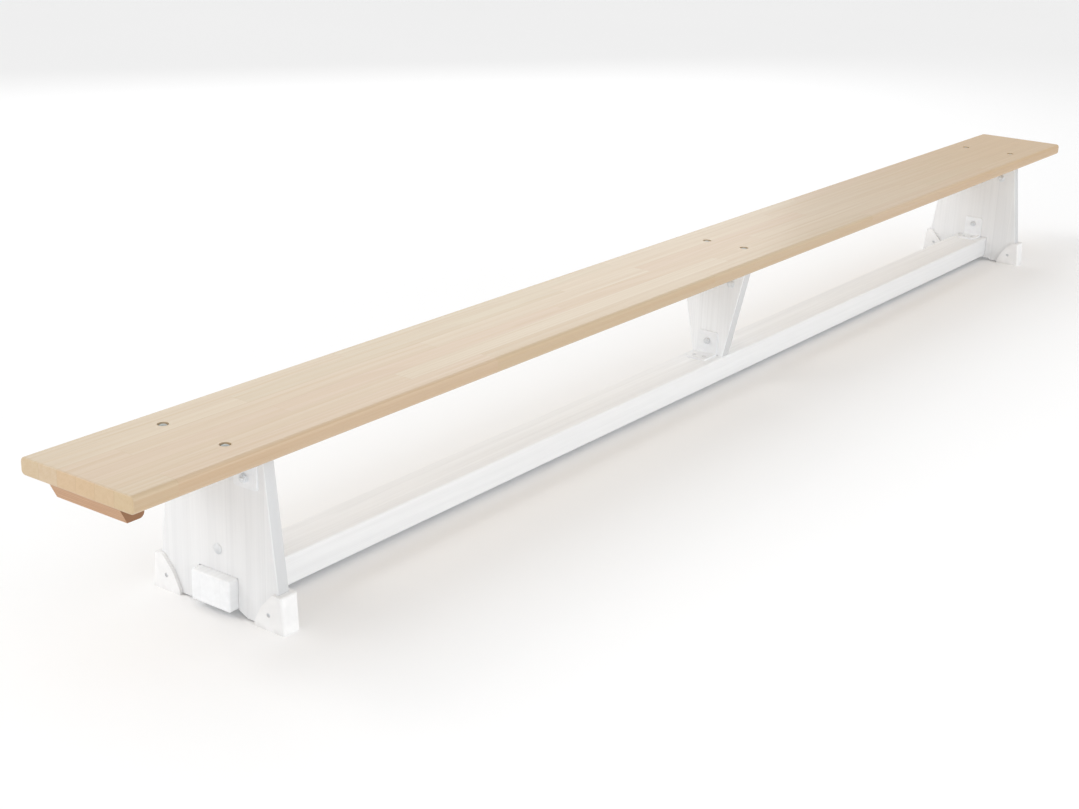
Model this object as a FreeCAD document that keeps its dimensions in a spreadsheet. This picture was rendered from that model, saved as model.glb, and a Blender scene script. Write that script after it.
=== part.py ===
"""Gymnastics bench with a balance rail, as a parametric FreeCAD document.

The bench is a long wooden seat on two flared leg boards and a tapered middle board. A balance
rail runs through the legs just above the floor, a hook batten sits under one end of the seat,
and steel angle brackets, bolts and screws hold it all together.

Millimetres. X runs along the bench with the hook batten's end (called near) at -X, Y runs
across it with the left side at +Y, and Z is up from the floor.
"""
import FreeCAD, Part
import os
import Sketcher
from FreeCAD import Placement, Rotation, Vector

os.makedirs("parts", exist_ok=True)
doc = FreeCAD.newDocument("gymnastics_bench")

# ---------------------------------------------------------------- driving dimensions
SIZES = {
    # seat plank
    "seat_length": 4000,
    "seat_width": 270,
    "seat_thickness": 32,
    "seat_height": 345,
    "seat_edge_round": 9,       # the edges along the seat
    "seat_end_round": 3,        # all round each end
    # leg boards
    "leg_inset": 300,           # end of the seat to the leg's outer face
    "leg_thickness": 27,
    "leg_top_width": 228,
    "leg_flare": 0.13,          # spread of each side per millimetre of drop
    "leg_edge_round": 2.5,
    "arch_run": 23,             # notch side to the foot of the arch
    "notch_clearance": 0.5,
    # middle board
    "mid_thickness": 32,
    "mid_top_width": 188,
    "mid_foot_width": 86,
    "mid_edge_round": 2.5,
    # balance rail
    "rail_width": 96,
    "rail_height": 60,
    "rail_rise": 13,            # floor to the rail's underside
    "rail_overrun": 22,         # stands out past the leg's outer face
    "rail_edge_round": 5,
    # hook batten
    "batten_length": 168,
    "batten_height": 35,
    "batten_inset": 11,         # end of the seat to the batten's top edge
    "batten_top_width": 54,
    "batten_slope_run": 18,     # how far the outer face leans in
    "batten_edge_round": 10,
    # foot caps
    "cap_cheek": 7,
    "cap_sole": 3,
    "cap_height": 70,
    "cap_low_wall": 9.5,
    "cap_high_wall": 12.7,
    "cap_cheek_length": 61,
    "cap_tip_rise": 9,
    "cap_shoulder_reach": 45,
    "cap_shoulder_rise": 41,
    "cap_shelf": 9,
    "cap_clearance": 0.2,
    "cap_outer_round": 5,
    "cap_tip_round": 6,
    "cap_shoulder_round": 40,
    # angle brackets
    "bracket_flange": 60,
    "bracket_width": 55,
    "bracket_thickness": 4,
    "bracket_inner_round": 2,
    "bracket_corner_round": 4,
    "end_board_bolt_reach": 41,  # under the seat: bend to the bolt through a leg
    "mid_board_bolt_reach": 49,  # the same through the middle board
    "near_rail_bolt_reach": 44,  # on the rail: bend to the bolt through the board
    "mid_rail_bolt_reach": 35,
    "far_rail_bolt_reach": 40,
    "near_seat_reach": 47,      # near leg's face to the bolts through the seat
    "plain_seat_reach": 22,     # the same at the other two supports
    "end_bolt_spacing": 150,
    "mid_bolt_spacing": 106,
    # bolts, washers and nuts
    "bolt_diameter": 8,
    "bolt_clearance": 1,        # how much wider its holes are
    "bolt_head": 20,
    "bolt_head_height": 4.5,
    "bolt_head_rim": 1,
    "bolt_end_chamfer": 1,
    "bolt_overrun": 3,
    "sink_clearance": 1,        # how much wider a sunk head's hole is
    "sink_depth": 5,
    "washer_rim": 4.3,          # bore to the outside
    "washer_thickness": 1.6,
    "washer_clearance": 0.4,
    "nut_wall": 2.45,           # bore to the flats
    "nut_height": 6.5,
    "nut_clearance": 0.1,
    "nut_corner_angle": 30,
    "nut_cut_margin": 1,
    # screws: foot caps, rail brackets, hook batten
    "foot_screw_shank": 3.5,
    "foot_screw_length": 16,
    "foot_screw_head": 8,
    "foot_screw_head_height": 2.4,
    "foot_screw_inset": 27,
    "foot_screw_rise": 30,
    "foot_screw_sink": 0.4,     # depth of the head's rim under the cheek's face
    "rail_screw_shank": 5,
    "rail_screw_length": 36,
    "rail_screw_head": 9.5,
    "rail_screw_head_height": 3,
    "rail_screw_spacing": 28,
    "rail_screw_reach": 42,
    "batten_screw_shank": 4.5,
    "batten_screw_length": 50,
    "batten_screw_head": 9,
    "batten_screw_head_height": 3,
    "batten_screw_sink": 1,
    "batten_screw_spacing": 58,
    "screw_clearance": 0.1,
    "screw_sink_clearance": 0.6,
    "bracket_screw_clearance": 0.5,
    "pilot_overdrill": 2,       # room under a screw's point
    "screw_rim_share": 0.333,   # upright rim as a share of the head's height
    "recess_width": 1,
    "recess_share": 0.55,       # length of the cross recess as a share of the head
    "recess_depth_share": 0.5,
}
PARALLEL = 1e-6                 # how far a direction may be off and still count
MATCH = 0.01                    # the same for a place, in millimetres
STEEP = 0.5                     # upward share of a slanting side's direction, at least

sheet = doc.addObject("Spreadsheet::Sheet", "size")
for row, (alias, number) in enumerate(SIZES.items(), 1):
    sheet.set(f"A{row}", alias)
    sheet.set(f"B{row}", str(number))
    sheet.setAlias(f"B{row}", alias)
doc.recompute()

# ---------------------------------------------------------------- places worked out from them
SEAT_UNDER = "(size.seat_height - size.seat_thickness)"
LEG_OUTER = "(size.seat_length / 2 - size.leg_inset)"
LEG_INNER = f"({LEG_OUTER} - size.leg_thickness)"
MID_HALF = "(size.mid_thickness / 2)"
RAIL_TOP = "(size.rail_rise + size.rail_height)"
NOTCH_HALF = "(size.rail_width / 2 + size.notch_clearance)"
NOTCH_TOP = f"({RAIL_TOP} + size.notch_clearance)"
SEAT_END = "(size.seat_length / 2)"
BOLT_HOLE = "(size.bolt_diameter + size.bolt_clearance)"
WASHER_BORE = "(size.bolt_diameter + size.washer_clearance)"
NUT_BORE = "(size.bolt_diameter + size.nut_clearance)"
BATTEN_CENTRE = (f"(-{SEAT_END} + size.batten_inset + size.batten_slope_run / 2"
                 " + size.batten_top_width / 2)")


def leg_half(height):
    """Half the leg board's width at a height above the floor."""
    return f"(size.leg_top_width / 2 + size.leg_flare * ({SEAT_UNDER} - {height}))"


FOOT_HALF = leg_half("size.cap_sole")
FOOT_SCREW_Y = f"({FOOT_HALF} - size.foot_screw_inset)"

# each support: the faces of its board, which way its seat brackets reach, and how far from the
# bend their bolts are: "reach" through the seat and "drop" through the board
SUPPORTS = {
    "near": {"bracket_face": f"-{LEG_OUTER}", "plain_face": f"-{LEG_INNER}", "way": -1,
             "spread": "(size.end_bolt_spacing / 2)", "reach": "size.near_seat_reach",
             "drop": "size.end_board_bolt_reach"},
    "mid": {"bracket_face": MID_HALF, "plain_face": f"-{MID_HALF}", "way": 1,
            "spread": "(size.mid_bolt_spacing / 2)", "reach": "size.plain_seat_reach",
            "drop": "size.mid_board_bolt_reach"},
    "far": {"bracket_face": LEG_OUTER, "plain_face": LEG_INNER, "way": 1,
            "spread": "(size.end_bolt_spacing / 2)", "reach": "size.plain_seat_reach",
            "drop": "size.end_board_bolt_reach"},
}
# the rail bracket's face, the opposite face, which way the bracket reaches, and its bolt's rise
RAIL_BRACKETS = {
    "near": {"face": f"-{LEG_INNER}", "back": f"-{LEG_OUTER}", "way": 1,
             "rise": "size.near_rail_bolt_reach"},
    "mid": {"face": f"-{MID_HALF}", "back": MID_HALF, "way": -1,
            "rise": "size.mid_rail_bolt_reach"},
    "far": {"face": LEG_INNER, "back": LEG_OUTER, "way": -1,
            "rise": "size.far_rail_bolt_reach"},
}
SIDES = {"left": 1, "right": -1}


def value(expression):
    """The number that a sheet expression comes to."""
    return float(sheet.evalExpression(expression))


# ---------------------------------------------------------------- sketch and feature helpers
def new_body(name):
    body = doc.addObject("PartDesign::Body", name)
    body.Label = name
    return body


def new_sketch(body, name, plane, offset=None):
    """A sketch on one of the body's own origin planes, moved along its normal by offset."""
    sketch = body.newObject("Sketcher::SketchObject", name)
    role = plane + "_Plane"
    support = next(item for item in body.Origin.OriginFeatures if item.Role == role)
    sketch.AttachmentSupport = [(support, "")]
    sketch.MapMode = "FlatFace"
    if offset:
        sketch.setExpression("AttachmentOffset.Base.z", offset)
    return sketch


def pin_point(sketch, geometry, end, x_place, y_place):
    """Ties one point of a sketch to two sheet expressions."""
    for kind, place, axis in (("DistanceX", x_place, -2), ("DistanceY", y_place, -1)):
        if place == "0":
            sketch.addConstraint(Sketcher.Constraint("PointOnObject", geometry, end, axis))
            continue
        rule = Sketcher.Constraint(kind, -1, 1, geometry, end, value(place))
        index = sketch.addConstraint(rule)
        sketch.setExpression(f"Constraints[{index}]", place)


def outline(sketch, corners, domes=()):
    """A closed outline through corners given as pairs of expressions. The side that starts at
    an index in domes is an arc whose centre lies on the sketch's vertical axis."""
    points = [Vector(value(x), value(y), 0) for x, y in corners]
    count = len(points)
    for index, start in enumerate(points):
        finish = points[(index + 1) % count]
        if index in domes:
            sketch.addGeometry(dome_arc(start, finish))
        else:
            sketch.addGeometry(Part.LineSegment(start, finish))
    for index, (x_place, y_place) in enumerate(corners):
        following = (index + 1) % count
        sketch.addConstraint(Sketcher.Constraint("Coincident", index, 2, following, 1))
        pin_point(sketch, index, 1, x_place, y_place)
    for index in domes:
        sketch.addConstraint(Sketcher.Constraint("PointOnObject", index, 3, -2))


def dome_arc(rim, crown):
    """The arc from a dome's rim up to its crown, which lies on the vertical axis."""
    rise = crown.y - rim.y
    radius = (rim.x ** 2 + rise ** 2) / (2 * rise)
    centre = Vector(0, crown.y - radius, 0)
    middle = (rim + crown) * 0.5 - centre
    middle.normalize()
    return Part.Arc(rim, centre + middle * radius, crown)


def circles(sketch, places, diameter):
    """Circles of one diameter at places given as pairs of expressions."""
    for index, (x_place, y_place) in enumerate(places):
        centre = Vector(value(x_place), value(y_place), 0)
        sketch.addGeometry(Part.Circle(centre, Vector(0, 0, 1), value(diameter) / 2))
        pin_point(sketch, index, 3, x_place, y_place)
        rule = sketch.addConstraint(Sketcher.Constraint("Diameter", index, value(diameter)))
        sketch.setExpression(f"Constraints[{rule}]", diameter)


def pad(body, sketch, length, side="One side"):
    feature = body.newObject("PartDesign::Pad", sketch.Name + "_pad")
    feature.Profile = sketch
    feature.SideType = side
    feature.setExpression("Length", length)
    doc.recompute()
    return feature


def pocket(body, sketch, length=None, side="One side", backwards=False):
    """A cut that must take material away. Without a length it goes right through."""
    before = body.Shape.Volume
    feature = body.newObject("PartDesign::Pocket", sketch.Name + "_cut")
    feature.Profile = sketch
    feature.SideType = side
    feature.Reversed = backwards
    if length:
        feature.setExpression("Length", length)
    else:
        feature.Type = "ThroughAll"
    doc.recompute()
    if not body.Shape.Volume < before:
        raise RuntimeError(f"{feature.Name} takes nothing from {body.Name}")
    return feature


def drill(body, name, plane, places, diameter, length=None, offset=None, backwards=False):
    """Round holes. Without a length they go right through, both ways from the plane."""
    sketch = new_sketch(body, name, plane, offset)
    circles(sketch, places, diameter)
    side = "One side" if length else "Symmetric"
    return pocket(body, sketch, length, side, backwards)


def dress(body, kind, name, amount, wanted):
    """A fillet or chamfer on the edges of the body that wanted() picks."""
    base = body.Tip
    picked = [f"Edge{index}" for index, edge in enumerate(base.Shape.Edges, 1) if wanted(edge)]
    if not picked:
        raise RuntimeError(f"{name} finds no edge on {body.Name}")
    feature = body.newObject("PartDesign::" + kind, f"{body.Name}_{name}")
    feature.Base = (base, picked)
    feature.setExpression("Radius" if kind == "Fillet" else "Size", amount)
    doc.recompute()
    return feature


def runs_along(edge, axis):
    """True if the edge is straight and lies along the axis."""
    if not isinstance(edge.Curve, Part.Line):
        return False
    way = edge.Curve.Direction
    return abs(abs(way.dot(axis)) - 1) < PARALLEL


def meets(amount, place):
    """True if a coordinate has the value of an expression."""
    return abs(amount - value(place)) < MATCH


def passes(edge, y_place, z_place):
    """True if the edge's middle lies at a given Y and Z."""
    middle = edge.CenterOfMass
    return meets(middle.y, y_place) and meets(middle.z, z_place)


ALONG_X = Vector(1, 0, 0)
ALONG_Y = Vector(0, 1, 0)
ALONG_Z = Vector(0, 0, 1)
made = []


def keep(part):
    """Adds a finished sub-part to the ones that are written out."""
    made.append(part)
    return part


# ---------------------------------------------------------------- wooden parts
def seat_bolt_places():
    """Where the bolts go down through the seat, as pairs of expressions."""
    places = []
    for support in SUPPORTS.values():
        x_place = f"({support['bracket_face']} + {support['way']} * {support['reach']})"
        for sign in SIDES.values():
            places.append((x_place, f"({sign} * {support['spread']})"))
    return places


def batten_screw_places():
    return [(BATTEN_CENTRE, f"({step} * size.batten_screw_spacing)") for step in (-1, 1)] + [
        (BATTEN_CENTRE, "0")]


def seat_plank():
    """The seat: a board cut square with rounded edges, drilled and sunk for its bolts."""
    body = new_body("seat_plank")
    sketch = new_sketch(body, "seat_outline", "XY", SEAT_UNDER)
    half_width = "size.seat_width / 2"
    outline(sketch, [(f"-{SEAT_END}", f"-{half_width}"), (SEAT_END, f"-{half_width}"),
                     (SEAT_END, half_width), (f"-{SEAT_END}", half_width)])
    pad(body, sketch, "size.seat_thickness")
    dress(body, "Fillet", "edges", "size.seat_edge_round",
          lambda edge: runs_along(edge, ALONG_X))
    dress(body, "Fillet", "ends", "size.seat_end_round",
          lambda edge: meets(abs(edge.CenterOfMass.x), SEAT_END))
    drill(body, "seat_bolt_holes", "XY", seat_bolt_places(), BOLT_HOLE)
    drill(body, "seat_bolt_sinks", "XY", seat_bolt_places(),
          "(size.bolt_head + size.sink_clearance)", "size.sink_depth", "size.seat_height")
    drill(body, "seat_batten_pilots", "XY", batten_screw_places(),
          "(size.batten_screw_shank + size.screw_clearance)",
          "(size.batten_screw_length - size.batten_height + size.batten_screw_head_height"
          " + size.batten_screw_sink + size.pilot_overdrill)", SEAT_UNDER, backwards=True)
    return keep(body)


def hook_batten():
    """The strip under the near end: its outer face leans in, its inner lower edge is round."""
    body = new_body("hook_batten")
    sketch = new_sketch(body, "batten_profile", "XZ")
    outer = f"(-{SEAT_END} + size.batten_inset)"
    inner = f"({outer} + size.batten_top_width)"
    lower = f"({SEAT_UNDER} - size.batten_height)"
    outline(sketch, [(outer, SEAT_UNDER), (f"({outer} + size.batten_slope_run)", lower),
                     (inner, lower), (inner, SEAT_UNDER)])
    pad(body, sketch, "size.batten_length", "Symmetric")
    dress(body, "Fillet", "round", "size.batten_edge_round",
          lambda edge: runs_along(edge, ALONG_Y)
          and meets(edge.CenterOfMass.x, inner) and meets(edge.CenterOfMass.z, lower))
    drill(body, "batten_screw_holes", "XY", batten_screw_places(),
          "(size.batten_screw_shank + size.screw_clearance)")
    drill(body, "batten_screw_sinks", "XY", batten_screw_places(),
          "(size.batten_screw_head + size.screw_sink_clearance)",
          "(size.batten_screw_head_height + size.batten_screw_sink)", lower, backwards=True)
    return keep(body)


def board_bolt_places(place):
    """Where the bolts go through a support's board, as pairs of Y and Z expressions."""
    support = SUPPORTS[place]
    places = [(f"({side} * {support['spread']})", f"({SEAT_UNDER} - {support['drop']})")
              for side in SIDES.values()]
    return places + [("0", f"({RAIL_TOP} + {RAIL_BRACKETS[place]['rise']})")]


def leg_board(end, sign):
    """A flared leg: notched below for the rail, arched beside it, drilled for its fasteners."""
    name = f"{end}_leg_board"
    body = new_body(name)
    sketch = new_sketch(body, name + "_outline", "YZ")
    arch = f"({NOTCH_HALF} + size.arch_run)"
    right_side = [("(size.leg_top_width / 2)", SEAT_UNDER), (FOOT_HALF, "size.cap_sole"),
                  (arch, "size.cap_sole"), (NOTCH_HALF, "size.rail_rise"),
                  (NOTCH_HALF, NOTCH_TOP)]
    left_side = [(f"-{y_place}", z_place) for y_place, z_place in reversed(right_side)]
    outline(sketch, right_side + left_side)
    middle = f"({LEG_OUTER} - size.leg_thickness / 2)"
    pad(body, sketch, "size.leg_thickness", "Symmetric")
    dress(body, "Fillet", "edges", "size.leg_edge_round", lambda edge: is_flared(edge))
    drill(body, name + "_bolt_holes", "YZ", board_bolt_places(end), BOLT_HOLE)
    pilots = [(f"({side} * {FOOT_SCREW_Y})", "size.foot_screw_rise") for side in SIDES.values()]
    drill(body, name + "_foot_pilots", "YZ", pilots,
          "(size.foot_screw_shank + size.screw_clearance)")
    body.setExpression("Placement.Base.x", f"{sign} * {middle}")
    return keep(body)


def is_flared(edge):
    """True for the long edges of a board's slanting sides."""
    if not isinstance(edge.Curve, Part.Line):
        return False
    way = edge.Curve.Direction
    long_enough = edge.Length > value(SEAT_UNDER) / 2
    return long_enough and abs(way.x) < PARALLEL and abs(way.z) > STEEP


def mid_support_board():
    """The middle board: wide under the seat and narrow on the rail."""
    body = new_body("mid_support_board")
    sketch = new_sketch(body, "mid_outline", "YZ")
    top = "(size.mid_top_width / 2)"
    foot = "(size.mid_foot_width / 2)"
    outline(sketch, [(f"-{foot}", RAIL_TOP), (foot, RAIL_TOP),
                     (top, SEAT_UNDER), (f"-{top}", SEAT_UNDER)])
    pad(body, sketch, "size.mid_thickness", "Symmetric")
    dress(body, "Fillet", "edges", "size.mid_edge_round", lambda edge: is_flared(edge))
    drill(body, "mid_bolt_holes", "YZ", board_bolt_places("mid"), BOLT_HOLE)
    return keep(body)


def rail_screw_places(names=tuple(RAIL_BRACKETS)):
    places = []
    for name in names:
        bracket = RAIL_BRACKETS[name]
        x_place = f"({bracket['face']} + {bracket['way']} * size.rail_screw_reach)"
        for sign in SIDES.values():
            places.append((x_place, f"({sign} * size.rail_screw_spacing / 2)"))
    return places


def balance_rail():
    """The rail: one square-edged beam with all its edges rounded over."""
    body = new_body("balance_rail")
    sketch = new_sketch(body, "rail_section", "YZ")
    half = "(size.rail_width / 2)"
    outline(sketch, [(f"-{half}", "size.rail_rise"), (half, "size.rail_rise"),
                     (half, RAIL_TOP), (f"-{half}", RAIL_TOP)])
    pad(body, sketch, f"2 * ({LEG_OUTER} + size.rail_overrun)", "Symmetric")
    dress(body, "Fillet", "edges", "size.rail_edge_round", lambda edge: True)
    drill(body, "rail_screw_pilots", "XY", rail_screw_places(),
          "(size.rail_screw_shank + size.screw_clearance)",
          "(size.rail_screw_length - size.bracket_thickness + size.pilot_overdrill)", RAIL_TOP)
    return keep(body)


# ---------------------------------------------------------------- foot caps
def foot_cap(name, end_sign, side_sign):
    """A moulded cap over a leg's lower corner: two cheeks, a sole and an outer wall."""
    body = new_body(name)
    sketch = new_sketch(body, name + "_profile", "YZ")
    tip = f"({FOOT_HALF} - size.cap_cheek_length)"
    shoulder = (f"({FOOT_HALF} - size.cap_shoulder_reach)", "size.cap_shoulder_rise")
    shelf = (f"({leg_half('size.cap_height')} - size.cap_shelf)", "size.cap_height")
    tip_top = (tip, "size.cap_tip_rise")
    corners = [(tip, "0"), (f"({FOOT_HALF} + size.cap_low_wall)", "0"),
               (f"({leg_half('size.cap_height')} + size.cap_high_wall)", "size.cap_height"),
               shelf, shoulder, tip_top]
    outline(sketch, [(f"({side_sign} * {y_place})", z_place) for y_place, z_place in corners])
    pad(body, sketch, "(size.leg_thickness + 2 * size.cap_cheek + 2 * size.cap_clearance)",
        "Symmetric")
    for label, corner, amount in (("shoulder", shoulder, "size.cap_shoulder_round"),
                                  ("tip", tip_top, "size.cap_tip_round"),
                                  ("shelf", shelf, "size.cap_tip_round")):
        place = f"({side_sign} * {corner[0]})"
        dress(body, "Fillet", label, amount,
              lambda edge: runs_along(edge, ALONG_X) and passes(edge, place, corner[1]))
    outer = side_sign * value(leg_half("size.cap_height"))
    dress(body, "Fillet", "outer", "size.cap_outer_round",
          lambda edge: (edge.CenterOfMass.y - outer) * side_sign > 0
          and edge.CenterOfMass.z > value("size.cap_sole")
          and not runs_along(edge, ALONG_Y))
    # the room for the leg's corner, open at the top and towards the arch
    room = new_sketch(body, name + "_room", "YZ")
    above = "(size.cap_height + size.cap_sole)"
    inside = f"({tip} - size.cap_sole)"
    edge_low = f"({FOOT_HALF} + size.cap_clearance)"
    edge_high = f"({leg_half(above)} + size.cap_clearance)"
    room_corners = [(inside, "size.cap_sole"), (edge_low, "size.cap_sole"),
                    (edge_high, above), (inside, above)]
    outline(room, [(f"({side_sign} * {y_place})", z_place) for y_place, z_place in room_corners])
    pocket(body, room, "(size.leg_thickness + 2 * size.cap_clearance)", "Symmetric")
    screw = [(f"({side_sign} * {FOOT_SCREW_Y})", "size.foot_screw_rise")]
    drill(body, name + "_screw_holes", "YZ", screw,
          "(size.foot_screw_shank + size.screw_clearance)")
    face = "(size.leg_thickness / 2 + size.cap_cheek + size.cap_clearance)"
    for way, flipped in ((1, False), (-1, True)):
        drill(body, f"{name}_sink_{'outer' if flipped else 'inner'}", "YZ", screw,
              "(size.foot_screw_head + size.screw_sink_clearance)",
              "(size.foot_screw_head_height + size.foot_screw_sink)", f"({way} * {face})",
              backwards=flipped)
    body.setExpression("Placement.Base.x", f"{end_sign} * ({LEG_OUTER} - size.leg_thickness / 2)")
    return keep(body)


# ---------------------------------------------------------------- angle brackets
def angle_bracket(name, board_hole_reach, flat_holes, flat_hole_size, turn, place):
    """A bent steel angle. Before it is turned, its bend lies along Y at the origin, its upright
    flange rises against the board and its flat flange reaches out along +X."""
    body = new_body(name)
    sketch = new_sketch(body, name + "_section", "XZ")
    thick = "size.bracket_thickness"
    flange = "size.bracket_flange"
    outline(sketch, [("0", "0"), (flange, "0"), (flange, thick), (thick, thick),
                     (thick, flange), ("0", flange)])
    pad(body, sketch, "size.bracket_width", "Symmetric")
    dress(body, "Fillet", "outer_bend", f"(size.bracket_inner_round + {thick})",
          lambda edge: runs_along(edge, ALONG_Y)
          and edge.CenterOfMass.x < MATCH and edge.CenterOfMass.z < MATCH)
    dress(body, "Fillet", "inner_bend", "size.bracket_inner_round",
          lambda edge: runs_along(edge, ALONG_Y)
          and meets(edge.CenterOfMass.x, thick) and meets(edge.CenterOfMass.z, thick))
    dress(body, "Fillet", "flange_corners", "size.bracket_corner_round",
          lambda edge: (runs_along(edge, ALONG_Z) and meets(edge.CenterOfMass.x, flange))
          or (runs_along(edge, ALONG_X) and meets(edge.CenterOfMass.z, flange)))
    drill(body, name + "_board_hole", "YZ", [("0", board_hole_reach)],
          BOLT_HOLE, f"2 * {thick}", f"-{thick}", backwards=True)
    drill(body, name + "_flat_holes", "XY", flat_holes, flat_hole_size,
          f"2 * {thick}", f"-{thick}", backwards=True)
    body.Placement = Placement(Vector(0, 0, 0), turn)
    for axis, expression in zip("xyz", place):
        body.setExpression(f"Placement.Base.{axis}", expression)
    return keep(body)


UPRIGHT = {1: Rotation(), -1: Rotation(ALONG_Z, 180)}
HANGING = {1: Rotation(ALONG_X, 180), -1: Rotation(ALONG_Y, 180)}


def seat_brackets():
    """Two brackets hang under the seat at each support."""
    for name, support in SUPPORTS.items():
        for side, sign in SIDES.items():
            angle_bracket(f"{name}_{side}_seat_bracket", support["drop"],
                          [(support["reach"], "0")], BOLT_HOLE, HANGING[support["way"]],
                          (support["bracket_face"], f"{sign} * {support['spread']}",
                           SEAT_UNDER))


def rail_brackets():
    """One bracket stands on the rail at each support."""
    holes = [("size.rail_screw_reach", f"({sign} * size.rail_screw_spacing / 2)")
             for sign in SIDES.values()]
    for name, bracket in RAIL_BRACKETS.items():
        angle_bracket(f"{name}_rail_bracket", bracket["rise"], holes,
                      "(size.rail_screw_shank + size.bracket_screw_clearance)",
                      UPRIGHT[bracket["way"]], (bracket["face"], "0", RAIL_TOP))


# ---------------------------------------------------------------- fasteners
def revolved(name, corners, domes=()):
    """A turned piece about the Z axis."""
    body = new_body(name)
    sketch = new_sketch(body, name + "_profile", "XZ")
    outline(sketch, corners, domes)
    feature = body.newObject("PartDesign::Revolution", name + "_turned")
    feature.Profile = sketch
    feature.ReferenceAxis = (sketch, ["V_Axis"])
    doc.recompute()
    return body


def bolt_pattern_piece(name, length):
    """A mushroom-headed bolt: the head sits on the XY plane and the shank points down."""
    shank = "(size.bolt_diameter / 2)"
    head = "(size.bolt_head / 2)"
    chamfer = "size.bolt_end_chamfer"
    corners = [("0", f"-{length}"), (f"({shank} - {chamfer})", f"-{length}"),
               (shank, f"({chamfer} - {length})"), (shank, "0"), (head, "0"),
               (head, "size.bolt_head_rim"), ("0", "size.bolt_head_height")]
    return revolved(name, corners, domes=[5])


def screw_pattern_piece(name, prefix):
    """A pan-headed wood screw with a cross recess: head on the XY plane, point down."""
    shank = f"(size.{prefix}_shank / 2)"
    head = f"(size.{prefix}_head / 2)"
    length = f"size.{prefix}_length"
    height = f"size.{prefix}_head_height"
    corners = [("0", f"-{length}"), (shank, f"(size.{prefix}_shank - {length})"), (shank, "0"),
               (head, "0"), (head, f"(size.screw_rim_share * {height})"), ("0", height)]
    body = revolved(name, corners, domes=[4])
    arm = f"(size.recess_share * {head})"
    half = "(size.recess_width / 2)"
    for label, wide, tall in (("a", arm, half), ("b", half, arm)):
        sketch = new_sketch(body, f"{name}_recess_{label}", "XY", height)
        outline(sketch, [(f"-{wide}", f"-{tall}"), (wide, f"-{tall}"),
                         (wide, tall), (f"-{wide}", tall)])
        pocket(body, sketch, f"(size.recess_depth_share * {height})")
    return body


def washer_pattern_piece():
    body = new_body("washer_pattern")
    sketch = new_sketch(body, "washer_ring", "XY")
    circles(sketch, [("0", "0")], f"({WASHER_BORE} + 2 * size.washer_rim)")
    pad(body, sketch, "size.washer_thickness")
    drill(body, "washer_hole", "XY", [("0", "0")], WASHER_BORE)
    return body


def nut_pattern_piece():
    """A hexagon nut standing on the XY plane, its outer corners turned off."""
    body = new_body("nut_pattern")
    sketch = new_sketch(body, "nut_hexagon", "XY")
    flat = f"({NUT_BORE} / 2 + size.nut_wall)"
    point = f"({flat} / cos(30))"
    outline(sketch, [(point, "0"), (f"({point} / 2)", flat), (f"(-{point} / 2)", flat),
                     (f"-{point}", "0"), (f"(-{point} / 2)", f"-{flat}"),
                     (f"({point} / 2)", f"-{flat}")])
    pad(body, sketch, "size.nut_height")
    drill(body, "nut_hole", "XY", [("0", "0")], NUT_BORE)
    before = body.Shape.Volume
    corner = new_sketch(body, "nut_corner", "XZ")
    outside = f"({point} + size.nut_cut_margin)"
    drop = f"(({outside} - {flat}) * tan(size.nut_corner_angle))"
    outline(corner, [(flat, "size.nut_height"), (outside, "size.nut_height"),
                     (outside, f"(size.nut_height - {drop})")])
    groove = body.newObject("PartDesign::Groove", "nut_corner_cut")
    groove.Profile = corner
    groove.ReferenceAxis = (corner, ["V_Axis"])
    doc.recompute()
    if not body.Shape.Volume < before:
        raise RuntimeError("the nut's corners are not turned off")
    return body


DOWN = Rotation()
UP = Rotation(ALONG_X, 180)
TOWARDS = {1: Rotation(ALONG_Y, 90), -1: Rotation(ALONG_Y, -90)}   # piece's +Z to +X or -X


def group(name, pattern, places):
    """Copies of one piece, each a separate solid, as one sub-part."""
    copies = []
    for index, (place, turn) in enumerate(places, 1):
        copy = doc.addObject("App::Link", f"{name}_copy_{index}")
        copy.LinkedObject = pattern
        copy.Placement = Placement(Vector(0, 0, 0), turn)
        for axis, expression in zip("xyz", place):
            copy.setExpression(f"Placement.Base.{axis}", expression)
        copies.append(copy)
    compound = doc.addObject("Part::Compound", name)
    compound.Label = name
    compound.Links = copies
    return keep(compound)


def beyond(face, way, *thicknesses):
    """A place past a face by the given thicknesses."""
    return f"({face} + {way} * ({' + '.join(thicknesses)}))"


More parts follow.
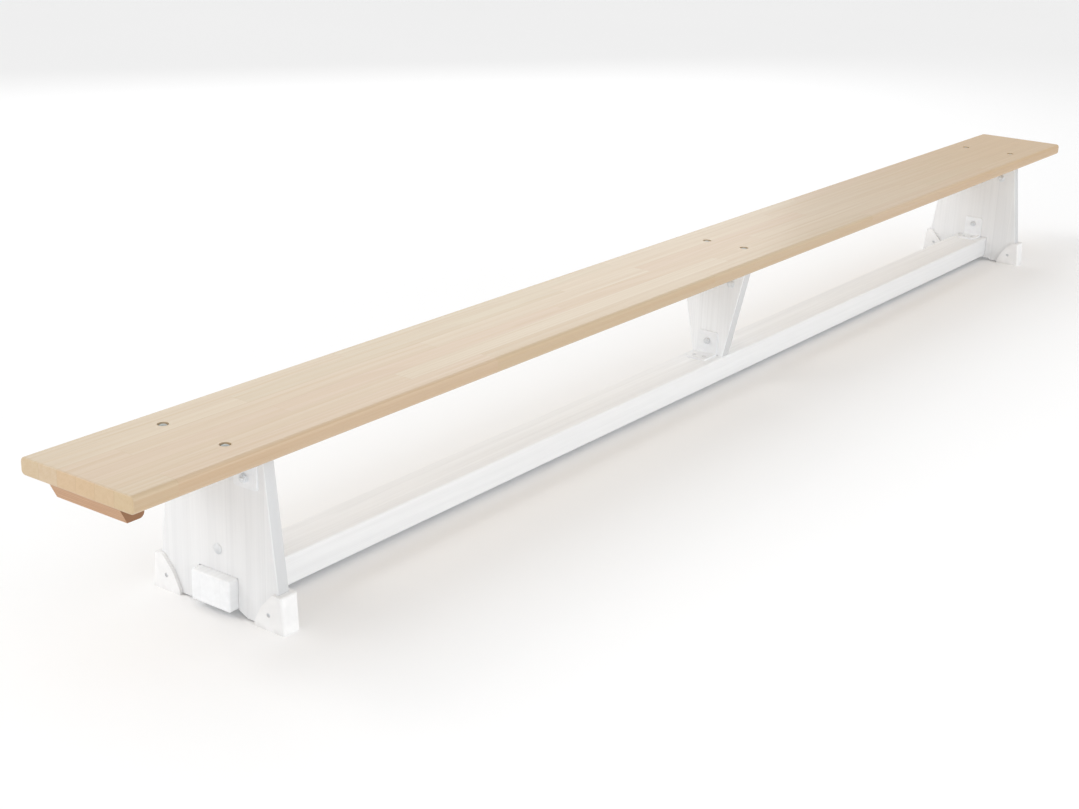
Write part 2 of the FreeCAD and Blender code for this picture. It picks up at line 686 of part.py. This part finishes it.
def bolt_sets():
    """Bolts, washers and nuts at each support: through the seat, the board and the rail
    bracket. Each bolt's head is on the wood and its washer and nut are on the bracket."""
    clamped = "size.bracket_thickness + size.washer_thickness + size.nut_height + size.bolt_overrun"
    patterns = {
        "seat": bolt_pattern_piece(
            "seat_bolt_pattern", f"(size.seat_thickness - size.sink_depth + {clamped})"),
        "leg": bolt_pattern_piece("leg_bolt_pattern", f"(size.leg_thickness + {clamped})"),
        "mid": bolt_pattern_piece("mid_bolt_pattern", f"(size.mid_thickness + {clamped})"),
    }
    washer = washer_pattern_piece()
    nut = nut_pattern_piece()
    thick = "size.bracket_thickness"
    past_washer = "size.washer_thickness"
    for name, support in SUPPORTS.items():
        way = support["way"]
        rail = RAIL_BRACKETS[name]
        board_bolt = patterns["mid" if name == "mid" else "leg"]
        seat_x = beyond(support["bracket_face"], way, support["reach"])
        board_z = f"({SEAT_UNDER} - {support['drop']})"
        rail_z = f"({RAIL_TOP} + {rail['rise']})"
        under = f"({SEAT_UNDER} - {thick})"
        seat_top = "(size.seat_height - size.sink_depth)"
        spreads = [f"{sign} * {support['spread']}" for sign in SIDES.values()]
        group(f"{name}_seat_bolts", patterns["seat"],
              [((seat_x, spread, seat_top), DOWN) for spread in spreads])
        group(f"{name}_board_bolts", board_bolt,
              [((support["plain_face"], spread, board_z), TOWARDS[-way])
               for spread in spreads])
        group(f"{name}_rail_bracket_bolt", board_bolt,
              [((rail["back"], "0", rail_z), TOWARDS[-rail["way"]])])
        seat_spots = [((seat_x, spread, under), UP) for spread in spreads]
        board_spots = [((beyond(support["bracket_face"], way, thick), spread, board_z),
                        TOWARDS[way]) for spread in spreads]
        rail_spots = [((beyond(rail["face"], rail["way"], thick), "0", rail_z),
                       TOWARDS[rail["way"]])]
        group(f"{name}_washers", washer, seat_spots + board_spots + rail_spots)
        seat_nuts = [((seat_x, spread, f"({under} - {past_washer})"), UP) for spread in spreads]
        board_nuts = [((beyond(support["bracket_face"], way, thick, past_washer), spread,
                        board_z), TOWARDS[way]) for spread in spreads]
        rail_nuts = [((beyond(rail["face"], rail["way"], thick, past_washer), "0", rail_z),
                      TOWARDS[rail["way"]])]
        group(f"{name}_nuts", nut, seat_nuts + board_nuts + rail_nuts)


def screw_sets():
    """Wood screws: rail brackets to the rail, foot caps to the legs, batten to the seat."""
    rail_screw = screw_pattern_piece("rail_screw_pattern", "rail_screw")
    for name in RAIL_BRACKETS:
        group(f"{name}_rail_screws", rail_screw,
              [((x_place, y_place, f"({RAIL_TOP} + size.bracket_thickness)"), DOWN)
               for x_place, y_place in rail_screw_places([name])])
    foot_screw = screw_pattern_piece("foot_screw_pattern", "foot_screw")
    seat_of_head = ("(size.cap_cheek + size.cap_clearance - size.foot_screw_head_height"
                    " - size.foot_screw_sink)")
    for end, end_sign in (("near", -1), ("far", 1)):
        centre = f"{end_sign} * ({LEG_OUTER} - size.leg_thickness / 2)"
        spots = []
        for side_sign in SIDES.values():
            for way in (1, -1):
                face = f"({centre} + {way} * (size.leg_thickness / 2 + {seat_of_head}))"
                place = (face, f"{side_sign} * {FOOT_SCREW_Y}", "size.foot_screw_rise")
                spots.append((place, TOWARDS[way]))
        group(f"{end}_foot_screws", foot_screw, spots)
    batten_screw = screw_pattern_piece("batten_screw_pattern", "batten_screw")
    head_seat = (f"({SEAT_UNDER} - size.batten_height + size.batten_screw_head_height"
                 " + size.batten_screw_sink)")
    group("hook_batten_screws", batten_screw,
          [((x_place, y_place, head_seat), UP) for x_place, y_place in batten_screw_places()])


# ---------------------------------------------------------------- the bench
def build():
    seat_plank()
    hook_batten()
    leg_board("near", -1)
    leg_board("far", 1)
    mid_support_board()
    balance_rail()
    for end, end_sign in (("near", -1), ("far", 1)):
        for side, side_sign in SIDES.items():
            foot_cap(f"{end}_{side}_foot_cap", end_sign, side_sign)
    seat_brackets()
    rail_brackets()
    bolt_sets()
    screw_sets()
    doc.recompute()


def check():
    """Stops on any failed object or broken shape."""
    for item in doc.Objects:
        if "Invalid" in item.State or "Error" in item.State:
            raise RuntimeError(f"{item.Name} failed: {item.State}")
    for part in made:
        if part.Shape.isNull() or not part.Shape.isValid():
            raise RuntimeError(f"{part.Label} has no valid shape")


def write():
    for part in made:
        part.Shape.exportStep(f"parts/{part.Label}.step")
        print(part.Label, len(part.Shape.Solids), round(part.Shape.Volume))


build()
check()
write()
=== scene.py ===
"""Looks for a gymnastics bench: timber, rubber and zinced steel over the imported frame.

Metres, in the frame's own axes: X runs along the bench with the hook batten at -X, Y runs
across it with left at +Y, and Z is up from the floor.
"""

import math

import bpy
from mathutils import Matrix, Vector


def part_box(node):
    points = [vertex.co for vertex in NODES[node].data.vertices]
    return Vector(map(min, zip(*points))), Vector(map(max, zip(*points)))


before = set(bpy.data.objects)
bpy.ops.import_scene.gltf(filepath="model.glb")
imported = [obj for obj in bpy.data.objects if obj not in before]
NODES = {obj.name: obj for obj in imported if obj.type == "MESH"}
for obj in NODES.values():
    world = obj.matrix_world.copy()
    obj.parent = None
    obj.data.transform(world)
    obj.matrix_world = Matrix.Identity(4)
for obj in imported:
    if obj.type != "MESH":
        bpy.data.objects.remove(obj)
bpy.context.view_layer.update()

SEAT_LOW, SEAT_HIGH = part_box("seat_plank")
RAIL_LOW, RAIL_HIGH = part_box("balance_rail")
MM = 0.001
X_AXIS, Y_AXIS = 0, 1

SEAT_STAVES = 6                      # side by side across the seat
SEAT_STAVE_LENGTH = 0.95
BOARD_STAVE_WIDTH = 46 * MM
BOARD_STAVE_LENGTH = 2.0             # longer than a board is high, so it shows few butt joints
RAIL_STAVE_WIDTH = (RAIL_HIGH.y - RAIL_LOW.y) / 2
RAIL_STAVE_LENGTH = 9.0
CRYSTALS_PER_METRE = 420.0
DIRT_HEIGHT = 14 * MM


# ---------------------------------------------------------------- node trees
class Surface:
    """A material being put together. Each method adds one node and returns what it gives."""

    def __init__(self, name):
        self.material = bpy.data.materials.new(name)
        self.material.use_nodes = True
        self.nodes = self.material.node_tree.nodes
        self.links = self.material.node_tree.links
        self.shader = self.nodes["Principled BSDF"]
        coordinates = self.nodes.new("ShaderNodeTexCoord").outputs
        self.place = coordinates["Object"]
        self.facing = coordinates["Normal"]

    def feed(self, socket, source):
        if isinstance(source, bpy.types.NodeSocket):
            self.links.new(source, socket)
        else:
            socket.default_value = source

    def maths(self, operation, *values):
        node = self.nodes.new("ShaderNodeMath")
        node.operation = operation
        for socket, source in zip(node.inputs, values):
            self.feed(socket, source)
        return node.outputs[0]

    def total(self, *values):
        result = values[0]
        for item in values[1:]:
            result = self.maths("ADD", result, item)
        return result

    def times(self, *values):
        result = values[0]
        for item in values[1:]:
            result = self.maths("MULTIPLY", result, item)
        return result

    def split(self, vector):
        node = self.nodes.new("ShaderNodeSeparateXYZ")
        self.feed(node.inputs[0], vector)
        return node.outputs["X"], node.outputs["Y"], node.outputs["Z"]

    def looks_along(self, axis):
        """1 on faces that look along the axis, 0 on the others."""
        part = self.split(self.facing)[axis]
        return self.between(self.maths("ABSOLUTE", part), 0.7, 0.95)

    def join(self, x, y, z):
        node = self.nodes.new("ShaderNodeCombineXYZ")
        for socket, source in zip(node.inputs, (x, y, z)):
            self.feed(socket, source)
        return node.outputs[0]

    def random(self, vector):
        """A random number from 0 to 1, and three more, for each value of the vector."""
        node = self.nodes.new("ShaderNodeTexWhiteNoise")
        node.noise_dimensions = "3D"
        self.feed(node.inputs["Vector"], vector)
        return node.outputs["Value"], self.split(node.outputs["Color"])

    def noise(self, vector, scale=1.0, detail=2.0, roughness=0.5):
        node = self.nodes.new("ShaderNodeTexNoise")
        self.feed(node.inputs["Vector"], vector)
        node.inputs["Scale"].default_value = scale
        node.inputs["Detail"].default_value = detail
        node.inputs["Roughness"].default_value = roughness
        return node.outputs["Fac"]

    def cells(self, vector, scale):
        """A random colour for each cell."""
        node = self.nodes.new("ShaderNodeTexVoronoi")
        self.feed(node.inputs["Vector"], vector)
        node.inputs["Scale"].default_value = scale
        return node.outputs["Color"]

    def between(self, value, low, high, to_low=0.0, to_high=1.0, smooth=False):
        """Maps low..high to to_low..to_high and holds it there."""
        node = self.nodes.new("ShaderNodeMapRange")
        node.interpolation_type = "SMOOTHSTEP" if smooth else "LINEAR"
        for key, source in zip(("Value", "From Min", "From Max", "To Min", "To Max"),
                               (value, low, high, to_low, to_high)):
            self.feed(node.inputs[key], source)
        return node.outputs["Result"]

    def mix(self, share, first, second):
        """The first colour with a share of the second mixed in."""
        node = self.nodes.new("ShaderNodeMix")
        node.data_type = "RGBA"
        self.feed(node.inputs[0], share)
        self.feed(node.inputs[6], first)
        self.feed(node.inputs[7], second)
        return node.outputs[2]

    def bump(self, height, depth, strength):
        """Relief whose height of 0..1 stands for depth metres."""
        node = self.nodes.new("ShaderNodeBump")
        node.inputs["Strength"].default_value = strength
        node.inputs["Distance"].default_value = depth
        self.feed(node.inputs["Height"], height)
        self.feed(self.shader.inputs["Normal"], node.outputs["Normal"])

    def finish(self, colour, roughness, **constants):
        """Joins up the shader. The constants are set on its own sockets."""
        self.feed(self.shader.inputs["Base Color"], colour)
        self.feed(self.shader.inputs["Roughness"], roughness)
        for key, number in constants.items():
            self.shader.inputs[key.replace("_", " ").title()].default_value = number
        return self.material


def colour(red, green, blue):
    """A linear colour from the 0..255 numbers that a screen shows."""
    shown = [channel / 255 for channel in (red, green, blue)]
    linear = [c / 12.92 if c <= 0.04045 else ((c + 0.055) / 1.055) ** 2.4 for c in shown]
    return (*linear, 1.0)


def wear(name, material):
    """Puts a material on every slot of a CAD node."""
    piece = NODES[name]
    for index in range(max(1, len(piece.material_slots))):
        if index >= len(piece.material_slots):
            piece.data.materials.append(material)
        piece.material_slots[index].material = material


# ---------------------------------------------------------------- timber
def staves(s, along, across, width, length, seed):
    """Splits a glued board into staves: three random numbers for each stave, and how far a point
    is from the nearest glue line and the nearest butt joint."""
    rows = s.maths("DIVIDE", across, width)
    row = s.maths("FLOOR", rows)
    shift, (stretch, _, _) = s.random(s.join(row, seed, 0.5))
    run = s.times(s.between(stretch, 0.0, 1.0, 0.8, 1.25), 1.0 / length)
    spans = s.total(s.times(along, run), s.times(shift, 7.0))
    span = s.maths("FLOOR", spans)
    _, randoms = s.random(s.join(row, span, seed))
    to_line = s.times(s.maths("PINGPONG", rows, 0.5), width)
    to_end = s.times(s.maths("PINGPONG", spans, 0.5), length)
    return randoms, to_line, to_end


def rings(s, along, across, through, randoms, spacing, wander, seed):
    """Growth rings round a pith that runs roughly along the grain, 0 in early wood to 1 in the
    dark late wood."""
    first, second, third = randoms
    sway = s.noise(s.join(s.times(along, 1.3), s.total(s.times(across, 5.0), s.times(third, 30.0)),
                          s.total(s.times(through, 5.0), seed)), detail=2.0)
    bend = s.times(s.total(sway, -0.5), wander)
    side = s.total(across, s.between(first, 0.0, 1.0, -0.07, 0.07), bend)
    depth = s.total(through, s.between(second, 0.0, 1.0, 0.02, 0.13), bend)
    radius = s.maths("SQRT", s.total(s.times(side, side), s.times(depth, depth)))
    phase = s.maths("FRACT", s.maths("DIVIDE", radius, spacing))
    rise = s.between(phase, 0.25, 0.9, smooth=True)
    fall = s.between(phase, 0.93, 1.0, 1.0, 0.0)
    return s.times(rise, fall)


def fibres(s, along, across, through, randoms, stretch, fineness):
    """Long streaks along the grain, each stave with its own."""
    offset = s.times(randoms[2], 11.0)
    return s.noise(s.join(s.total(s.times(along, stretch), offset), s.times(across, fineness),
                          s.times(through, fineness)), detail=3.0, roughness=0.6)


def seat_timber():
    """Pale hardwood staves under a clear matt varnish, glued edge to edge and end to end."""
    s = Surface("seat_timber")
    along, across, through = s.split(s.place)
    width = (SEAT_HIGH.y - SEAT_LOW.y) / SEAT_STAVES
    randoms, to_line, to_end = staves(s, along, across, width, SEAT_STAVE_LENGTH, seed=3.0)
    ring = rings(s, along, across, through, randoms, spacing=2.6 * MM, wander=9 * MM, seed=1.0)
    broad = fibres(s, along, across, through, randoms, stretch=1.1, fineness=90.0)
    fine = fibres(s, along, across, through, randoms, stretch=7.0, fineness=620.0)
    pores = fibres(s, along, across, through, randoms, stretch=45.0, fineness=1900.0)
    pale = colour(203, 186, 158)
    warm = colour(198, 174, 143)
    rosy = colour(201, 176, 149)
    olive = colour(196, 180, 149)
    tone = s.mix(s.between(randoms[0], 0.1, 0.9), pale, warm)
    tone = s.mix(s.between(randoms[1], 0.62, 0.9, 0.0, 0.6), tone, rosy)
    tone = s.mix(s.between(randoms[1], 0.35, 0.1, 0.0, 0.6), tone, olive)
    # The seat is painted yellower towards its far end: a painted gradient that stands in for the
    # sheen of light that pales its near end. Its staves differ more on the end faces.
    painted_sheen_falloff = s.between(along, 0.5, SEAT_HIGH.x, 0.0, 0.8, smooth=True)
    tone = s.mix(painted_sheen_falloff, tone, colour(200, 166, 118))
    end = s.looks_along(X_AXIS)
    tone = s.mix(s.times(end, randoms[1], 0.5), tone, colour(212, 172, 138))
    tone = s.mix(s.times(end, randoms[0], 0.4), tone, colour(206, 180, 124))
    tone = s.mix(s.between(broad, 0.38, 0.7, 0.0, 0.4), tone, colour(190, 160, 122))
    tone = s.mix(s.times(ring, 0.14), tone, colour(176, 140, 102))
    tone = s.mix(s.between(fine, 0.5, 0.75, 0.0, 0.18), tone, colour(180, 146, 108))
    tone = s.mix(s.between(pores, 0.62, 0.8, 0.0, 0.3), tone, colour(150, 112, 74))
    line = s.maths("MAXIMUM", s.between(to_line, 0.0, 0.9 * MM, 1.0, 0.0),
                   s.between(to_end, 0.0, 0.8 * MM, 1.0, 0.0))
    tone = s.mix(s.times(line, 0.22), tone, colour(150, 112, 76))
    height = s.total(s.times(fine, 0.5), s.times(pores, 0.5), s.times(line, -0.4))
    s.bump(height, depth=0.12 * MM, strength=0.6)
    roughness = s.total(0.36, s.times(broad, 0.12), s.times(fine, 0.06))
    return s.finish(tone, roughness, coat_weight=0.42, coat_roughness=0.25)


def batten_timber():
    """A short strip with its grain along Y, its end grain darker."""
    s = Surface("batten_timber")
    x, along, z = s.split(s.place)
    randoms = (0.35, 0.2, 0.6)
    ring = rings(s, along, x, z, randoms, spacing=2.4 * MM, wander=7 * MM, seed=4.0)
    fine = fibres(s, along, x, z, randoms, stretch=9.0, fineness=500.0)
    pores = fibres(s, along, x, z, randoms, stretch=60.0, fineness=1900.0)
    tone = s.mix(s.between(fine, 0.3, 0.75), colour(206, 164, 124), colour(180, 132, 92))
    tone = s.mix(s.times(ring, 0.4), tone, colour(150, 104, 70))
    tone = s.mix(s.between(pores, 0.62, 0.8, 0.0, 0.4), tone, colour(120, 82, 52))
    tone = s.mix(s.times(s.looks_along(Y_AXIS), 0.85), tone, colour(126, 84, 50))
    s.bump(s.total(s.times(fine, 0.5), s.times(pores, 0.5)), depth=0.12 * MM, strength=0.6)
    roughness = s.total(0.42, s.times(fine, 0.12))
    return s.finish(tone, roughness, coat_weight=0.1, coat_roughness=0.35)


def white_timber(name, grain, seed, width, length, faces, side_shade):
    """Timber under a near-white stain that lets the grain and the glue lines show faintly. Its
    faces that look along Y take the darker side tone, a painted shade, and the others the face
    tone."""
    s = Surface(name)
    x, y, z = s.split(s.place)
    along, across, through = (x, y, z) if grain == "X" else (z, y, x)
    randoms, to_line, to_end = staves(s, along, s.total(across, width / 2), width, length, seed)
    ring = rings(s, along, across, through, randoms, spacing=2.8 * MM, wander=10 * MM, seed=seed)
    broad = fibres(s, along, across, through, randoms, stretch=1.4, fineness=80.0)
    fine = fibres(s, along, across, through, randoms, stretch=9.0, fineness=560.0)
    grey = colour(196, 197, 199)
    # Painted shade: faces that look along Y are painted darker, as less light falls on them.
    tone = s.mix(s.looks_along(Y_AXIS), faces, side_shade)
    tone = s.mix(s.times(randoms[0], 0.08), tone, grey)
    tone = s.mix(s.between(broad, 0.4, 0.7, 0.0, 0.14), tone, grey)
    tone = s.mix(s.times(ring, 0.07), tone, grey)
    tone = s.mix(s.between(fine, 0.52, 0.75, 0.0, 0.12), tone, grey)
    line = s.maths("MAXIMUM", s.between(to_line, 0.0, 0.8 * MM, 1.0, 0.0),
                   s.between(to_end, 0.0, 0.6 * MM, 1.0, 0.0))
    tone = s.mix(s.times(line, 0.1), tone, colour(190, 190, 192))
    s.bump(s.total(s.times(fine, 0.7), s.times(line, -0.4)), depth=0.14 * MM, strength=0.6)
    roughness = s.total(0.45, s.times(broad, 0.12))
    return s.finish(tone, roughness, coat_weight=0.08, coat_roughness=0.35)


# ---------------------------------------------------------------- rubber and steel
def white_rubber():
    """Moulded rubber with a fine stipple, and a little floor dirt low down."""
    s = Surface("white_rubber")
    _, _, z = s.split(s.place)
    stipple = s.noise(s.place, 1400.0, detail=2.0)
    cloud = s.noise(s.place, 28.0, detail=3.0)
    tone = s.mix(s.between(cloud, 0.35, 0.7), colour(241, 241, 241), colour(233, 233, 233))
    near_floor = s.between(z, 0.0, DIRT_HEIGHT, 1.0, 0.0, smooth=True)
    low = s.times(near_floor, s.between(cloud, 0.4, 0.6))
    tone = s.mix(s.times(low, 0.35), tone, colour(206, 205, 202))
    s.bump(stipple, depth=0.05 * MM, strength=0.5)
    return s.finish(tone, s.total(0.55, s.times(cloud, 0.15)))


def zinc(name, base, dark, roughness, metallic, seed):
    """Zinced steel: fine crystals, clouded plating and a few rubbed spots."""
    s = Surface(name)
    x, y, z = s.split(s.place)
    moved = s.join(s.total(x, seed), y, z)
    grey, _, _ = s.split(s.cells(moved, CRYSTALS_PER_METRE))
    cloud = s.noise(moved, 60.0, detail=3.0)
    scratch = s.noise(s.join(s.times(x, 300.0), s.times(y, 2600.0), s.times(z, 300.0)), detail=2.0)
    tone = s.mix(s.between(cloud, 0.3, 0.75), base, dark)
    tone = s.mix(s.times(grey, 0.18), tone, dark)
    s.bump(s.total(s.times(grey, 0.4), s.times(scratch, 0.6)), depth=0.03 * MM, strength=0.5)
    rough = s.total(roughness, s.times(cloud, 0.14), s.times(scratch, 0.08))
    return s.finish(tone, rough, metallic=metallic)


def dress_nodes():
    """Every CAD node gets its material."""
    wear("seat_plank", seat_timber())
    wear("hook_batten", batten_timber())
    # Painted shade: the darker whites stand in for shade. The legs' faces and the rail's sides are
    # painted a little dimmer than the lit white, and the boards' sides dimmer still.
    white, painted_half_shade, shaded = colour(247, 249, 251), colour(237, 238, 239), colour(204, 205, 206)
    boards = (("near_leg_board", "near_leg_timber", 11.0, painted_half_shade),
              ("far_leg_board", "far_leg_timber", 12.0, painted_half_shade),
              ("mid_support_board", "mid_board_timber", 13.0, white))
    for board, name, seed, faces in boards:
        wear(board, white_timber(name, "Z", seed, BOARD_STAVE_WIDTH, BOARD_STAVE_LENGTH,
                                 faces, shaded))
    wear("balance_rail", white_timber("rail_timber", "X", 14.0, RAIL_STAVE_WIDTH,
                                      RAIL_STAVE_LENGTH, white, painted_half_shade))
    rubber = white_rubber()
    bracket = zinc("bracket_zinc", colour(243, 245, 247), colour(234, 236, 239),
                   roughness=0.42, metallic=0.05, seed=1.0)
    sunk = zinc("seat_bolt_zinc", colour(186, 190, 186), colour(142, 147, 146),
                roughness=0.3, metallic=0.7, seed=2.0)
    plated = zinc("fastener_zinc", colour(236, 238, 240), colour(206, 209, 212),
                  roughness=0.34, metallic=0.45, seed=3.0)
    for name in NODES:
        if name.endswith("foot_cap"):
            wear(name, rubber)
        elif name.endswith("_bracket"):
            wear(name, bracket)
        elif name.endswith("seat_bolts"):
            wear(name, sunk)
        elif name.endswith(("bolts", "_bolt", "washers", "nuts", "screws")):
            wear(name, plated)


# ---------------------------------------------------------------- studio
CAMERA_PLACE = Vector((-3.6489, -2.0595, 1.3848))
CAMERA_YAW = 0.6157          # turn to the left of +X, radians
CAMERA_PITCH = 0.3386        # tilt down
CAMERA_ROLL = 0.0346
CAMERA_LENS = 57.84          # on a sensor 36 mm wide
SENSOR_WIDTH = 36.0
VIEW_DISTANCE = 200.0
FLOOR_HALF = 40.0
SUN_TOWARD = Vector((-0.8, 0.65, 1.0))
SUN_STRENGTH = 0.5
SUN_SPREAD = math.radians(30)
ROOM_STRENGTH = 0.8


def add_camera():
    forward = Vector((math.cos(CAMERA_YAW) * math.cos(CAMERA_PITCH),
                      math.sin(CAMERA_YAW) * math.cos(CAMERA_PITCH), -math.sin(CAMERA_PITCH)))
    level = forward.cross(Vector((0, 0, 1))).normalized()
    upright = level.cross(forward)
    right = level * math.cos(CAMERA_ROLL) + upright * math.sin(CAMERA_ROLL)
    above = upright * math.cos(CAMERA_ROLL) - level * math.sin(CAMERA_ROLL)
    data = bpy.data.cameras.new("camera")
    data.lens = CAMERA_LENS
    data.sensor_width = SENSOR_WIDTH
    data.sensor_fit = "HORIZONTAL"
    data.clip_end = VIEW_DISTANCE
    camera = bpy.data.objects.new("camera", data)
    turn = Matrix((right, above, -forward)).transposed().to_4x4()
    camera.matrix_world = Matrix.Translation(CAMERA_PLACE) @ turn
    bpy.context.scene.collection.objects.link(camera)
    bpy.context.scene.camera = camera


def add_floor():
    mesh = bpy.data.meshes.new("floor")
    corners = [(x, y, 0.0) for x, y in ((-1, -1), (1, -1), (1, 1), (-1, 1))]
    mesh.from_pydata([(x * FLOOR_HALF, y * FLOOR_HALF, z) for x, y, z in corners], [],
                     [(0, 1, 2, 3)])
    floor = bpy.data.objects.new("floor", mesh)
    bpy.context.scene.collection.objects.link(floor)
    s = Surface("floor_paint")
    cloud = s.noise(s.place, 0.6, detail=1.0)
    tone = s.mix(cloud, colour(250, 250, 250), colour(248, 248, 248))
    mesh.materials.append(s.finish(tone, 0.8))


def add_softbox(name, place, target, width, height, power):
    """A rectangular lamp at place that faces target. It doesn't show itself."""
    lamp = bpy.data.lights.new(name, "AREA")
    lamp.shape = "RECTANGLE"
    lamp.size = width
    lamp.size_y = height
    lamp.energy = power
    box = bpy.data.objects.new(name, lamp)
    away = Vector(place) - Vector(target)
    turn = away.to_track_quat("Z", "Y").to_matrix().to_4x4()
    box.matrix_world = Matrix.Translation(place) @ turn
    box.visible_camera = False
    bpy.context.scene.collection.objects.link(box)


def add_light():
    """An even white room, a soft key from the hook's end, and softboxes round the bench."""
    sun = bpy.data.lights.new("key", "SUN")
    sun.energy = SUN_STRENGTH
    sun.angle = SUN_SPREAD
    key = bpy.data.objects.new("key", sun)
    key.rotation_euler = SUN_TOWARD.to_track_quat("Z", "Y").to_euler()
    bpy.context.scene.collection.objects.link(key)
    add_softbox("left_softbox", place=(2.8, 3.4, 2.1), target=(0.6, 0.0, 0.3),
                width=4.6, height=1.8, power=30.0)
    add_softbox("corner_softbox", place=(-3.5, 2.9, 2.7), target=(-1.9, 0.0, 0.3),
                width=1.2, height=1.0, power=21.0)
    add_softbox("right_fill", place=(-0.8, -3.5, 0.9), target=(-0.8, 0.0, 0.1),
                width=6.0, height=1.2, power=50.0)
    add_softbox("end_fill", place=(-6.5, 0.5, 1.2), target=(-1.7, 0.0, 0.2),
                width=4.0, height=2.0, power=20.0)
    world = bpy.data.worlds.new("room")
    world.use_nodes = True
    background = world.node_tree.nodes["Background"]
    background.inputs["Color"].default_value = (1.0, 1.0, 1.0, 1.0)
    background.inputs["Strength"].default_value = ROOM_STRENGTH
    bpy.context.scene.world = world
    bpy.context.scene.view_settings.view_transform = "Standard"


dress_nodes()
add_camera()
add_floor()
add_light()
